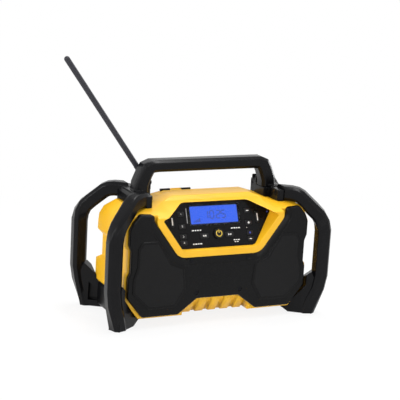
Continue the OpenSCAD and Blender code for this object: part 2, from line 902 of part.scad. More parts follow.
// One corner bar with its triangular foot, drawn for the front right corner
module corner_bar() {
    difference() {
        union() {
            through_rings([for (i = [0 : len(bar_stations) - 1]) bar_ring(i)]);
            bar_plane() along_y(-gusset_half, gusset_half) polygon([
                [8, foot_z], [50, foot_z], [66, 11], [74, 11], [74, 20], [34, 60], [13, 78], [8, 66]]);
        }
        along_y(-far, far) polygon(outset(mirrored(body_right), 0.3));
        box([0, -rail_half - seat, -past], [far, far, 100]);
        bar_plane() {
            translate([0, gusset_half + past, 0]) mirror([0, 1, 0])
                along_y(0, 9 + past) polygon([[22, 12], [49, 12], [47, 20], [23, 44]]);
            box([foot_in, -foot_w / 2, -past], [foot_in + foot_len, foot_w / 2, pad_t]);
        }
        translate([cage_screw_x, -cage_screw_y - 7, -past]) {
            cylinder(r = 4.5, h = cage_screw_z + past);
            cylinder(r = 2.3, h = 40);
        }
        rod_x(-cage_screw_y, arm_z, 1.9, beam_nose - past, beam_nose + 24);
    }
}

module foot_pad() {
    bar_plane() box([foot_in + 0.1, -foot_w / 2 + 0.1, 0], [foot_in + foot_len - 0.1, foot_w / 2 - 0.1, pad_t]);
}

module front_right_bar() { color(black) corner_bar(); }
module front_left_bar() { color(black) mirror([1, 0, 0]) corner_bar(); }
module rear_right_bar() { color(black) mirror([0, 1, 0]) corner_bar(); }
module rear_left_bar() { color(black) mirror([1, 0, 0]) mirror([0, 1, 0]) corner_bar(); }
module front_right_foot() { color("#101010") foot_pad(); }
module front_left_foot() { color("#101010") mirror([1, 0, 0]) foot_pad(); }
module rear_right_foot() { color("#101010") mirror([0, 1, 0]) foot_pad(); }
module rear_left_foot() { color("#101010") mirror([1, 0, 0]) mirror([0, 1, 0]) foot_pad(); }

// The beam on the right shoulder that carries the handle and two bars
module side_beam() {
    corner_back = bar_back + (beam_out - beam_nose) * tan(bar_turn);
    plan = [[beam_in - 10, -18], [beam_in, -18], [beam_in, -50], [beam_in + 3, -53],
        [beam_nose - 1, -53], [beam_nose, -52], [beam_nose, -bar_back], [beam_out, -corner_back]];
    color(black) difference() {
        intersection() {
            translate([0, 0, shoulder_z - 14]) linear_extrude(beam_h + 14)
                polygon(concat(plan, [for (i = [len(plan) - 1 : -1 : 0]) [plan[i][0], -plan[i][1]]]));
            along_y(-far, far) polygon([[0, 0], [beam_out + past, 0], [beam_out + past, beam_top - 6 - past],
                [beam_out - 6, beam_top], [beam_in - 2, beam_top], [beam_in - 10, beam_top - 3], [0, beam_top - 3]]);
        }
        body_shape(0);
        box([0, -bar_back - seat, foot_floor], [handle_foot_out + seat, bar_back + seat, far]);
        for (s = [-1, 1]) {
            translate([handle_screw_x, s * handle_screw_y, shoulder_z - 1]) cylinder(r = 2.2, h = far);
            rod_x(s * cage_screw_y, arm_z, 2.2, beam_in - past, beam_nose + past);
            rod_x(s * cage_screw_y, arm_z, 4.2, beam_in - past, beam_in + 3);
        }
    }
}

module right_side_beam() { side_beam(); }
module left_side_beam() { mirror([1, 0, 0]) side_beam(); }

// The rail under the lower right edge, between the two feet
module lower_rail() {
    out_x = body_half + 1;
    color(black) difference() {
        along_y(-rail_half, rail_half) polygon([
            [body_half - corner_w, 6], [out_x - 5, 6], [out_x, 11],
            [out_x, body_bottom + corner_h - 6], [out_x - 3, body_bottom + corner_h - 1],
            [body_half - corner_w, body_bottom + 2]]);
        along_y(-far, far) polygon(mirrored(body_right));
    }
}

module right_lower_rail() { lower_rail(); }
module left_lower_rail() { mirror([1, 0, 0]) lower_rail(); }

// Right half of the handle: x, height and half thickness, from the foot up
handle_stations = [
    [beam_in + 4, foot_floor, 13.5],
    [beam_in + 3, foot_floor + 14, 13.2],
    [grip_half + 20.5, handle_top - 24, 12.8],
    [grip_half + 15.5, handle_top - 15, 13],
    [grip_half + 8, handle_top - 11, 11.2],
    [grip_half - 3, handle_top - grip_t / 2, grip_t / 2]];

function handle_ring(i) =
    let (last = len(handle_stations) - 1,
        h = handle_stations[i],
        c = [h[0], 0, h[1]],
        before = handle_stations[max(i - 1, 0)],
        after = handle_stations[min(i + 1, last)],
        along = i == last ? [-1, 0, 0] : [after[0] - before[0], 0, after[1] - before[1]],
        across = i == 0 ? [1, 0, 0] : cross([0, 1, 0], along) / norm(along))
    ring(c, across * h[2], [0, handle_d / 2, 0], bar_edge);

function flip_x(points) = [for (p = points) [-p[0], p[1], p[2]]];

module carry_handle() {
    right = [for (i = [0 : len(handle_stations) - 1]) handle_ring(i)];
    left = [for (i = [len(handle_stations) - 1 : -1 : 0]) flip_x(handle_ring(i))];
    color(black) difference() {
        union() {
            through_rings(concat(right, left));
            both_sides() box([beam_in + 2, -handle_foot_half, foot_floor],
                [handle_foot_out, handle_foot_half, foot_floor + foot_t]);
        }
        both_sides() for (s = [-1, 1]) translate([handle_screw_x, s * handle_screw_y, foot_floor - past]) {
            cylinder(r = 2.4, h = 10);
            translate([0, 0, past + 1.6]) cylinder(r = handle_screw_r + 0.4, h = 10);
        }
    }
}

module aerial_base() {
    color(black) {
        difference() {
            union() {
                translate([-aerial_x, aerial_y, shoulder_z - 5]) cylinder(r = 7, h = 23);
                for (s = [-1, 1]) {
                    y0 = aerial_y + s * (tang_t / 2 + seat);
                    y1 = aerial_y + s * (tang_t / 2 + seat + ear_t);
                    rod_y(-aerial_x, aerial_z, ear_r, min(y0, y1), max(y0, y1));
                    box([-aerial_x - 5, min(y0, y1), aerial_z - 12], [-aerial_x + 5, max(y0, y1), aerial_z]);
                }
            }
            body_shape(0);
            rod_y(-aerial_x, aerial_z, pin_r, aerial_y - 20, aerial_y + 20);
        }
    }
}

// Local Z runs along the aerial, Y runs back
module along_aerial() {
    translate([-aerial_x, aerial_y, aerial_z]) rotate([0, -aerial_lean, 0]) children();
}

module aerial_mast() {
    color("#26262a") difference() {
        union() {
            along_aerial() {
                rotate([90, 0, 0]) translate([0, 0, -tang_t / 2]) cylinder(r = 6, h = tang_t);
                translate([-3.6, -tang_t / 2, 0]) cube([7.2, tang_t, 12]);
                translate([0, 0, 10]) cylinder(r = aerial_r + 0.4, h = 24);
                translate([0, 0, 10]) cylinder(r = aerial_r, h = aerial_len - 10 - aerial_r);
                translate([0, 0, aerial_len - aerial_r]) sphere(r = aerial_r);
            }
        }
        rod_y(-aerial_x, aerial_z, pin_r + run_fit, aerial_y - 20, aerial_y + 20);
    }
}

module aerial_pin() {
    reach = tang_t / 2 + seat + ear_t;
    color(steel) rod_y(-aerial_x, aerial_z, pin_r, aerial_y - reach, aerial_y + reach);
}

// A cradle behind the right arm that the folded aerial lies in
module aerial_clip() {
    inner = aerial_r + 0.5;
    outer = inner + 2.2;
    back = handle_d / 2;
    color(black) difference() {
        union() {
            rod_x(aerial_y, aerial_z, outer, clip_x - clip_w / 2, clip_x + clip_w / 2);
            box([clip_x - clip_w / 2, back, aerial_z - outer - 2],
                [clip_x + clip_w / 2, aerial_y, aerial_z + 4]);
        }
        rod_x(aerial_y, aerial_z, inner, clip_x - clip_w, clip_x + clip_w);
        box([clip_x - clip_w, aerial_y - inner, aerial_z], [clip_x + clip_w, aerial_y + inner, far]);
        box([clip_x - clip_w, 0, aerial_z + 4], [clip_x + clip_w, far, far]);
    }
}

// A screw along local Z: head on top of zero, shank below
module screw(head_r, head_h, shank_r, shank_h) {
    difference() {
        union() {
            cylinder(r = head_r, h = head_h);
            translate([0, 0, -shank_h]) cylinder(r = shank_r, h = shank_h + 0.1);
        }
        translate([0, 0, head_h - 1]) cylinder(r = head_r * 0.45, h = 3, $fn = 6);
    }
}

module grille_screws() {
    color(steel) both_sides() for (s = grille_screw_spots)
        translate([s[0], -body_front - grille_h + 3, s[1]]) rotate([90, 0, 0]) screw(3.4, 2.2, 1.4, 14);
}

module housing_screws() {
    color(steel) both_sides() for (s = housing_screw_spots)
        translate([s[0], housing_screw_seat, s[1]]) rotate([-90, 0, 0]) screw(3.6, 2.6, 1.5, housing_screw_len);
}

module cage_screws() {
    color(steel) four_corners() {
        translate([beam_in + 3, cage_screw_y, arm_z]) rotate([0, -90, 0]) screw(3.8, 2.4, 1.8, 32);
        translate([cage_screw_x, cage_screw_y + 7, cage_screw_z]) rotate([180, 0, 0])
            screw(4.2, 2.4, 1.8, 16);
    }
}

module handle_screws() {
    color(steel) four_corners()
        translate([handle_screw_x, handle_screw_y, foot_floor + 1.6]) screw(handle_screw_r, 2.2, 2, 14);
}

front_housing();
rear_housing();
speaker_grille();
panel_plate();
display_glass();
display_module();
control_board();
power_button();
track_key(-1);  // track_back_key
track_key(1);  // track_next_key
column_key(-1, 0);  // left_key_1
column_key(-1, 1);  // left_key_2
column_key(-1, 2);  // left_key_3
column_key(-1, 3);  // left_key_4
column_key(1, 0);  // right_key_1
column_key(1, 1);  // right_key_2
column_key(1, 2);  // right_key_3
column_key(1, 3);  // right_key_4
rocker_key(-1);  // left_rocker_key
rocker_key(1);  // right_rocker_key
speaker_frame(-1);  // left_speaker_frame
speaker_cone(-1);  // left_speaker_cone
speaker_magnet(-1);  // left_speaker_magnet
speaker_frame(1);  // right_speaker_frame
speaker_cone(1);  // right_speaker_cone
speaker_magnet(1);  // right_speaker_magnet
main_board();
power_supply();
battery_dock();
battery_terminals();
socket_tray();
usb_socket();
aux_socket();
socket_door();
door_hinge_pin();
power_inlet();
left_side_beam();
right_side_beam();
carry_handle();
front_left_bar();
front_right_bar();
rear_left_bar();
rear_right_bar();
left_lower_rail();
right_lower_rail();
front_left_foot();
front_right_foot();
rear_left_foot();
rear_right_foot();
aerial_base();
aerial_mast();
aerial_pin();
aerial_clip();
grille_screws();
housing_screws();
cage_screws();
handle_screws();
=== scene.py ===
import json
import math

import bmesh
import bpy
from mathutils import Matrix, Vector
from mathutils.bvhtree import BVHTree

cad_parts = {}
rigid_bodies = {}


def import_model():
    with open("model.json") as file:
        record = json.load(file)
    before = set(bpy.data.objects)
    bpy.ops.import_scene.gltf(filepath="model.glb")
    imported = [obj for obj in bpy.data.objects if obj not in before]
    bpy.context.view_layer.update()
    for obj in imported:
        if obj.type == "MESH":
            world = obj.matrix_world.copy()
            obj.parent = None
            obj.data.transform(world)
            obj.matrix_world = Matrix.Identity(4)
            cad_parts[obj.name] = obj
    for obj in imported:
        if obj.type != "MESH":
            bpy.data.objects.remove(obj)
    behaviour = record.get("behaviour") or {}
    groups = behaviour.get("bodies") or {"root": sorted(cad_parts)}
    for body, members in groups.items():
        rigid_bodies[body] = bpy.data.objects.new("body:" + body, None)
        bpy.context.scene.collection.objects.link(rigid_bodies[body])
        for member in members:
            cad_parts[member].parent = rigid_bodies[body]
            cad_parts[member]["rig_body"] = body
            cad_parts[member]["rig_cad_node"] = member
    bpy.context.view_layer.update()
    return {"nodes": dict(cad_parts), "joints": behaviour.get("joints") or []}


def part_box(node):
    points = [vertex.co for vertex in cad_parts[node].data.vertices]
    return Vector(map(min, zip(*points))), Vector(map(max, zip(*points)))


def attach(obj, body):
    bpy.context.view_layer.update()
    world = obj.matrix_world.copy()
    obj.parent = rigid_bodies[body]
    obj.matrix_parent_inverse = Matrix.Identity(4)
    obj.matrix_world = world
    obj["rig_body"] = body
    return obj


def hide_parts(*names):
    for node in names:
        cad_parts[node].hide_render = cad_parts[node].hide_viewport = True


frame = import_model()
bpy.ops.object.select_all(action="DESELECT")

MM = 0.001
nodes = frame["nodes"]


# ---------------------------------------------------------------- places

def low(name):
    """Lowest corner of a construction node."""
    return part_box(name)[0]


def high(name):
    """Highest corner of a construction node."""
    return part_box(name)[1]


# The control panel leans back: its keys travel along the inward direction.
INWARD = Vector(next(j for j in frame["joints"] if j["name"] == "power_button_press")["axis"])
PANEL_OUT = -INWARD
PANEL_UP = PANEL_OUT.cross(Vector((1, 0, 0)))
PANEL_SPOT = Vector((0, -69.8, 130)) * MM
PANEL = Matrix((
    (1, PANEL_UP.x, PANEL_OUT.x, PANEL_SPOT.x),
    (0, PANEL_UP.y, PANEL_OUT.y, PANEL_SPOT.y),
    (0, PANEL_UP.z, PANEL_OUT.z, PANEL_SPOT.z),
    (0, 0, 0, 1)))


def on_panel(name):
    """Middle of a node, as millimetres across, up and out of the panel."""
    return PANEL.inverted() @ ((low(name) + high(name)) / 2) / MM


# ---------------------------------------------------------------- making and shaping

# Shading is smooth over edges that turn less than this
SMOOTH_ANGLE = math.radians(32)
# Corners that rounding threw further out than this share of its width are put back
STRAY_SHARE = 0.5


def only(*objects):
    bpy.ops.object.select_all(action="DESELECT")
    for obj in objects:
        obj.select_set(True)
    bpy.context.view_layer.objects.active = objects[0]


def edit(obj, kind="FACE"):
    only(obj)
    bpy.ops.object.mode_set(mode="EDIT")
    bpy.ops.mesh.select_mode(type=kind)


def leave():
    bpy.ops.object.mode_set(mode="OBJECT")


def pick(obj, test):
    """In edit mode, selects the faces that pass the test, by middle and normal."""
    bpy.ops.mesh.select_all(action="DESELECT")
    mesh = bmesh.from_edit_mesh(obj.data)
    found = 0
    for face in mesh.faces:
        if test(face.calc_center_median(), face.normal):
            face.select_set(True)
            found += 1
    mesh.select_flush_mode()
    bmesh.update_edit_mesh(obj.data)
    return found


def apply_all(obj):
    only(obj)
    for modifier in list(obj.modifiers):
        bpy.ops.object.modifier_apply(modifier=modifier.name)


def surface_of(obj):
    """The piece's surface as it is now, to measure distances from."""
    return BVHTree.FromPolygons([v.co for v in obj.data.vertices],
        [list(face.vertices) for face in obj.data.polygons])


def keep_close(obj, surface, width):
    """Puts back the corners that rounding threw out from the surface."""
    for corner in obj.data.vertices:
        spot, _, _, distance = surface.find_nearest(corner.co)
        if distance > STRAY_SHARE * width * MM:
            corner.co = spot


def smooth(obj):
    """Smooths the shading over rounded edges, and keeps it even over the large faces."""
    only(obj)
    bpy.ops.object.shade_smooth_by_angle(angle=SMOOTH_ANGLE)
    even = obj.modifiers.new("even_faces", "WEIGHTED_NORMAL")
    even.weight = 100
    even.keep_sharp = True
    bpy.ops.object.modifier_apply(modifier=even.name)


def round_edges(obj, width, segments=2, angle=30):
    """Rounds every edge sharper than the angle, and smooths the shading over the rest."""
    surface = surface_of(obj)
    bevel = obj.modifiers.new("edges", "BEVEL")
    bevel.width = width * MM
    bevel.segments = segments
    bevel.limit_method = "ANGLE"
    bevel.angle_limit = math.radians(angle)
    bevel.use_clamp_overlap = False
    bevel.loop_slide = False
    apply_all(obj)
    keep_close(obj, surface, width)
    smooth(obj)


def named(name):
    obj = bpy.context.active_object
    obj.name = name
    obj.data.name = name
    return obj


def placed(obj, matrix):
    """Puts a piece that was drawn about the origin in its place, inside its mesh."""
    obj.matrix_world = matrix
    only(obj)
    bpy.ops.object.transform_apply(location=True, rotation=True, scale=True)
    return obj


def twin(obj, name):
    """A copy of a piece, with its own mesh."""
    copy = obj.copy()
    copy.data = obj.data.copy()
    copy.name = name
    bpy.context.scene.collection.objects.link(copy)
    return copy


def joined(name, *objects):
    only(*objects)
    if len(objects) > 1:
        bpy.ops.object.join()
    return named(name)


def merged(node, name):
    """A construction node's own shape as a new piece, with its loose triangles joined."""
    copy = nodes[node].copy()
    copy.data = nodes[node].data.copy()
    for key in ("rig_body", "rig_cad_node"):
        del copy[key]
    copy.parent = None
    copy.matrix_world = Matrix.Identity(4)
    copy.name = name
    bpy.context.scene.collection.objects.link(copy)
    edit(copy, "VERT")
    bpy.ops.mesh.select_all(action="SELECT")
    bpy.ops.mesh.remove_doubles(threshold=0.01 * MM)
    leave()
    return copy


def softened(node, name, width, segments=2, angle=30):
    """A construction node's own shape, with moulded edges."""
    piece = merged(node, name)
    round_edges(piece, width, segments, angle)
    return piece


def round_where(obj, test, width, segments):
    """Rounds the edges that the test picks."""
    surface = surface_of(obj)
    edit(obj, "EDGE")
    bpy.ops.mesh.select_all(action="DESELECT")
    mesh = bmesh.from_edit_mesh(obj.data)
    for line in mesh.edges:
        if len(line.link_faces) == 2 and test(line):
            line.select_set(True)
    bmesh.update_edit_mesh(obj.data)
    bpy.ops.mesh.bevel(offset=width * MM, segments=segments, affect="EDGES", loop_slide=False)
    leave()
    keep_close(obj, surface, width)


def wear(obj, material):
    obj.data.materials.clear()
    obj.data.materials.append(material)


def fit(obj, body, slot, material, *replaced):
    """Gives a finished piece its finish and its body, and hides the nodes that it stands for."""
    if material:
        wear(obj, material)
    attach(obj, body)
    if replaced:
        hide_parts(*replaced)
    return obj


# ---------------------------------------------------------------- materials

def linear(code):
    """An sRGB hex colour as linear red, green, blue and alpha."""
    parts = [int(code[i:i + 2], 16) / 255 for i in (1, 3, 5)]
    return tuple(c / 12.92 if c < 0.04045 else ((c + 0.055) / 1.055) ** 2.4 for c in parts) + (1.0,)


def add(tree, kind, inputs=None, **settings):
    """Adds a node, sets its properties, and links or sets its inputs."""
    made = tree.nodes.new(kind)
    for key, value in settings.items():
        setattr(made, key, value)
    for key, value in (inputs or {}).items():
        if isinstance(value, bpy.types.NodeSocket):
            tree.links.new(value, made.inputs[key])
        else:
            made.inputs[key].default_value = value
    return made


def blank(name):
    """An empty material, its node tree and its Object coordinates."""
    material = bpy.data.materials.new(name)
    material.use_nodes = True
    tree = material.node_tree
    tree.nodes.clear()
    return material, tree, add(tree, "ShaderNodeTexCoord").outputs["Object"]


def close(tree, inputs):
    shader = add(tree, "ShaderNodeBsdfPrincipled", inputs)
    add(tree, "ShaderNodeOutputMaterial", {"Surface": shader.outputs[0]})


def per(size):
    """Texture scale whose features are about this many millimetres wide."""
    return 1 / (size * MM)


def moulded(name, deep, pale, roughness, grain, height, specular):
    """Moulded plastic: a broad drift of tone, and the spark-eroded grain of its tool."""
    material, tree, place = blank(name)
    drift = add(tree, "ShaderNodeTexNoise", {"Vector": place, "Scale": per(70), "Detail": 3.0})
    tone = add(tree, "ShaderNodeMixRGB",
        {"Fac": drift.outputs[0], "Color1": linear(deep), "Color2": linear(pale)})
    texture = add(tree, "ShaderNodeTexNoise",
        {"Vector": place, "Scale": per(grain), "Detail": 4.0, "Roughness": 0.6})
    shine = add(tree, "ShaderNodeMapRange",
        {"Value": texture.outputs[0], "To Min": roughness - 0.06, "To Max": roughness + 0.06})
    bump = add(tree, "ShaderNodeBump",
        {"Strength": 0.5, "Distance": height * MM, "Height": texture.outputs[0]})
    close(tree, {"Base Color": tone.outputs[0], "Roughness": shine.outputs[0],
        "Normal": bump.outputs[0], "IOR": 1.53, "Specular IOR Level": specular})
    return material


def yellow_abs():
    # ABS in bright yellow, from a fine-grained tool: even, satin, a soft wide shine.
    return moulded("moulded_yellow_abs", "#e8ae1a", "#f2bc24", 0.36, 0.9, 0.05, 0.34)


def black_nylon():
    # Glass-filled nylon of the roll bars and handle: deep black, soft grey catch-lights.
    return moulded("glass_filled_nylon", "#08080a", "#0e0e10", 0.25, 1.1, 0.03, 0.14)


def grille_abs():
    # Matt black ABS of the speaker grille: as black as the bars, with a finer grain.
    return moulded("matt_black_abs", "#070708", "#0c0c0d", 0.27, 0.8, 0.02, 0.14)


def trim_abs():
    # Plain black ABS of the small mouldings at the back and on the shoulders.
    return moulded("plain_black_abs", "#0d0d0e", "#131314", 0.42, 0.9, 0.04, 0.16)


def panel_acrylic():
    # Back-printed acrylic: a hard gloss over solid black, with faint haze marks.
    material, tree, place = blank("black_gloss_acrylic")
    haze = add(tree, "ShaderNodeTexNoise", {"Vector": place, "Scale": per(18), "Detail": 5.0})
    shine = add(tree, "ShaderNodeMapRange",
        {"Value": haze.outputs[0], "To Min": 0.16, "To Max": 0.26})
    tone = add(tree, "ShaderNodeMixRGB",
        {"Fac": haze.outputs[0], "Color1": linear("#09090a"), "Color2": linear("#0f0f11")})
    close(tree, {"Base Color": tone.outputs[0], "Roughness": shine.outputs[0], "IOR": 1.49,
        "Specular IOR Level": 0.14})
    return material


def sound_mesh():
    # Black sheet with punched holes. Its 1 mm holes are drawn at a 2.6 mm pitch to show.
    material, tree, place = blank("punched_black_sheet")
    turned = add(tree, "ShaderNodeMapping", {"Vector": place, "Rotation": (0, math.radians(45), 0)})
    cells = add(tree, "ShaderNodeTexVoronoi",
        {"Vector": turned.outputs[0], "Scale": per(2.6), "Randomness": 0.0},
        voronoi_dimensions="3D")
    hole = add(tree, "ShaderNodeMapRange",
        {"Value": cells.outputs["Distance"], "From Min": 0.22, "From Max": 0.3})
    tone = add(tree, "ShaderNodeMixRGB",
        {"Fac": hole.outputs[0], "Color1": linear("#070707"), "Color2": linear("#121213")})
    bump = add(tree, "ShaderNodeBump",
        {"Strength": 0.5, "Distance": 0.4 * MM, "Height": hole.outputs[0]})
    close(tree, {"Base Color": tone.outputs[0], "Roughness": 0.45, "Normal": bump.outputs[0],
        "Specular IOR Level": 0.16})
    return material


def rubber(name, deep, pale, roughness):
    """Moulded rubber: matt, with a dusty, slightly uneven tone."""
    material, tree, place = blank(name)
    dust = add(tree, "ShaderNodeTexNoise", {"Vector": place, "Scale": per(6), "Detail": 6.0})
    tone = add(tree, "ShaderNodeMixRGB",
        {"Fac": dust.outputs[0], "Color1": linear(deep), "Color2": linear(pale)})
    grit = add(tree, "ShaderNodeTexNoise", {"Vector": place, "Scale": per(0.7), "Detail": 2.0})
    bump = add(tree, "ShaderNodeBump",
        {"Strength": 0.4, "Distance": 0.05 * MM, "Height": grit.outputs[0]})
    close(tree, {"Base Color": tone.outputs[0], "Roughness": roughness,
        "Normal": bump.outputs[0], "IOR": 1.5, "Specular IOR Level": 0.16})
    return material


def zinc_steel():
    # Zinc-plated steel: pale grey, with fine turning marks round the heads.
    material, tree, place = blank("zinc_plated_steel")
    marks = add(tree, "ShaderNodeTexNoise", {"Vector": place, "Scale": per(1.2), "Detail": 4.0})
    shine = add(tree, "ShaderNodeMapRange",
        {"Value": marks.outputs[0], "To Min": 0.24, "To Max": 0.42})
    close(tree, {"Base Color": linear("#b4b6ba"), "Metallic": 1.0, "Roughness": shine.outputs[0]})
    return material


def black_oxide():
    # Black-oxide screws: a dark metal with a dull shine.
    material, tree, place = blank("black_oxide_steel")
    marks = add(tree, "ShaderNodeTexNoise", {"Vector": place, "Scale": per(1.0), "Detail": 4.0})
    shine = add(tree, "ShaderNodeMapRange",
        {"Value": marks.outputs[0], "To Min": 0.34, "To Max": 0.5})
    close(tree, {"Base Color": linear("#222225"), "Metallic": 1.0, "Roughness": shine.outputs[0]})
    return material


def brass():
    # Pressed brass blades, a little tarnished in patches.
    material, tree, place = blank("pressed_brass")
    patch = add(tree, "ShaderNodeTexNoise", {"Vector": place, "Scale": per(3), "Detail": 5.0})
    tone = add(tree, "ShaderNodeMixRGB",
        {"Fac": patch.outputs[0], "Color1": linear("#b98b3c"), "Color2": linear("#dcb766")})
    close(tree, {"Base Color": tone.outputs[0], "Metallic": 1.0, "Roughness": 0.3})
    return material


def laminate():
    # Green solder mask over copper tracks, which show as a faint square pattern.
    material, tree, place = blank("green_circuit_laminate")
    tracks = add(tree, "ShaderNodeTexBrick",
        {"Vector": place, "Scale": per(9), "Color1": linear("#0f4a26"),
            "Color2": linear("#12562c"), "Mortar": linear("#2c7a45"), "Mortar Size": 0.04})
    close(tree, {"Base Color": tracks.outputs[0], "Roughness": 0.3})
    return material


def cone_paper():
    # Coated paper of the loudspeaker cones: matt, with a fibrous grain.
    material, tree, place = blank("coated_cone_paper")
    fibre = add(tree, "ShaderNodeTexNoise", {"Vector": place, "Scale": per(2), "Detail": 8.0})
    tone = add(tree, "ShaderNodeMixRGB",
        {"Fac": fibre.outputs[0], "Color1": linear("#1a1a1c"), "Color2": linear("#2b2b2e")})
    close(tree, {"Base Color": tone.outputs[0], "Roughness": 0.8})
    return material


def ferrite():
    # Sintered ferrite: charcoal grey, faintly speckled.
    material, tree, place = blank("sintered_ferrite")
    speck = add(tree, "ShaderNodeTexNoise", {"Vector": place, "Scale": per(0.8), "Detail": 3.0})
    tone = add(tree, "ShaderNodeMixRGB",
        {"Fac": speck.outputs[0], "Color1": linear("#343436"), "Color2": linear("#4a4a4d")})
    close(tree, {"Base Color": tone.outputs[0], "Roughness": 0.6})
    return material


def print_ink(name, code, glow=0.0):
    """Screen-printed ink on the panel and keys: flat, with a slight unevenness. The grey ink and
    the white strips on the rockers are painted highlights.
    """
    material, tree, place = blank(name)
    uneven = add(tree, "ShaderNodeTexNoise", {"Vector": place, "Scale": per(1.5), "Detail": 3.0})
    shine = add(tree, "ShaderNodeMapRange",
        {"Value": uneven.outputs[0], "To Min": 0.4, "To Max": 0.6})
    close(tree, {"Base Color": linear(code), "Roughness": shine.outputs[0],
        "Emission Color": linear(code), "Emission Strength": glow})
    return material


def lit_display():
    # The backlit screen: vivid blue, lit a little unevenly, with faint bands across.
    material, tree, place = blank("backlit_blue_screen")
    glow = add(tree, "ShaderNodeTexNoise", {"Vector": place, "Scale": per(55), "Detail": 1.0})
    lines = add(tree, "ShaderNodeTexWave",
        {"Vector": place, "Scale": per(8), "Distortion": 0.0},
        wave_type="BANDS", bands_direction="Z")
    mixed = add(tree, "ShaderNodeMath", {0: glow.outputs[0], 1: lines.outputs[1]},
        operation="MULTIPLY")
    tone = add(tree, "ShaderNodeMixRGB",
        {"Fac": mixed.outputs[0], "Color1": linear("#3462ee"), "Color2": linear("#3f70f8")})
    close(tree, {"Base Color": linear("#0a1430"), "Roughness": 0.3, "Specular IOR Level": 0.1,
        "Emission Color": tone.outputs[0], "Emission Strength": 0.95})
    return material


def display_cover():
    # Clear acrylic over the screen: nearly invisible but for its shine.
    material, tree, place = blank("clear_acrylic_cover")
    haze = add(tree, "ShaderNodeTexNoise", {"Vector": place, "Scale": per(20), "Detail": 3.0})
    shine = add(tree, "ShaderNodeMapRange",
        {"Value": haze.outputs[0], "To Min": 0.05, "To Max": 0.1})
    close(tree, {"Base Color": linear("#ffffff"), "Roughness": shine.outputs[0], "IOR": 1.2,
        "Transmission Weight": 1.0, "Specular IOR Level": 0.2})
    return material


yellow = yellow_abs()
cage = black_nylon()
front_black = grille_abs()
trim = trim_abs()
gloss = panel_acrylic()
punched = sound_mesh()
key_rubber = rubber("silicone_key_rubber", "#141415", "#1c1c1e", 0.5)
foot_rubber = rubber("black_foot_rubber", "#0d0d0d", "#171717", 0.75)
# The aerial's sleeve is a satin thermoplastic rubber, dark grey, drawn lighter all over as a
# painted sheen.
sleeve_painted_sheen = rubber("aerial_sleeve_painted_sheen", "#2c2c30", "#3a3a40", 0.42)
steel = zinc_steel()
dark_steel = black_oxide()
blade_brass = brass()
board_green = laminate()
paper = cone_paper()
magnet_black = ferrite()
# The white ink is print, and on the rocker keys a painted highlight.
white_print_and_highlight_ink = print_ink("white_print_and_painted_highlight", "#e9e9e6")
# The grey ink is a painted highlight: the glint on the screen bezel's edge.
painted_highlight_ink = print_ink("painted_bezel_highlight", "#8d8d90")
yellow_ink = print_ink("yellow_screen_print", "#e8c64a")
blue_lamp = print_ink("blue_indicator_lens", "#27358f", 0.2)
segment_blue = print_ink("dark_lcd_segment", "#1a3590", 0.3)
screen_blue = lit_display()
clear_cover = display_cover()


# ---------------------------------------------------------------- housings and cage

# Rounding of the edges in millimetres
SHELL_ROUND = 1.1
HANDLE_ROUND = 1.1
CAGE_ROUND = 0.9
PAD_ROUND = 0.4
# Bars and handle bend in small steps, so edges from this angle up are rounded, in three steps
BEND_ANGLE = 24
BEND_STEPS = 3
# The ribbed scoop under the grille: its half width, its deepest line and its top
SCOOP = Vector((63.5, -45, 46)) * MM


def make_housings():
    rear = softened("rear_housing", "rear_shell", SHELL_ROUND)
    fit(rear, "chassis", "yellow_housing", yellow, "rear_housing")
    front = merged("front_housing", "front_shell")

    def outside_scoop(line):
        middle = (line.verts[0].co + line.verts[1].co) / 2
        return abs(middle.x) > SCOOP.x or middle.y > SCOOP.y or middle.z > SCOOP.z

    # The scoop's ribs are too close together to be rounded, and keep crisp edges.
    round_where(front, lambda line: line.calc_face_angle() > math.radians(30)
        and outside_scoop(line), SHELL_ROUND, 2)
    smooth(front)
    fit(front, "chassis", "yellow_housing", yellow, "front_housing")


def make_cage():
    for node in ("left_side_beam", "right_side_beam", "left_lower_rail", "right_lower_rail"):
        moulding = softened(node, node + "_moulding", CAGE_ROUND)
        fit(moulding, "chassis", "black_cage", cage, node)
    for end in ("front", "rear"):
        for side in ("left", "right"):
            corner = f"{end}_{side}"
            bar = softened(corner + "_bar", corner + "_roll_bar",
                CAGE_ROUND, BEND_STEPS, BEND_ANGLE)
            fit(bar, "chassis", "black_cage", cage, corner + "_bar")
            pad = softened(corner + "_foot", corner + "_foot_pad", PAD_ROUND)
            fit(pad, "chassis", "foot_rubber", foot_rubber, corner + "_foot")
    handle = softened("carry_handle", "carrying_handle", HANDLE_ROUND, BEND_STEPS, BEND_ANGLE)
    fit(handle, "chassis", "black_cage", cage, "carry_handle")


# The sound pads stand this far out of the grille's face
PAD_H = 1.5
# Walls deeper than this are the grille's outline; the others are the channel's
OUTLINE_DEPTH = 4
PAD_EDGE = 1.4
OUTLINE_EDGE = 3.0
CHANNEL_EDGE = 0.9
# The punched sheet leaves a plain rim: its size as a share of the pad's, and its thickness
SHEET_SHARE = 0.94
SHEET_T = 0.3


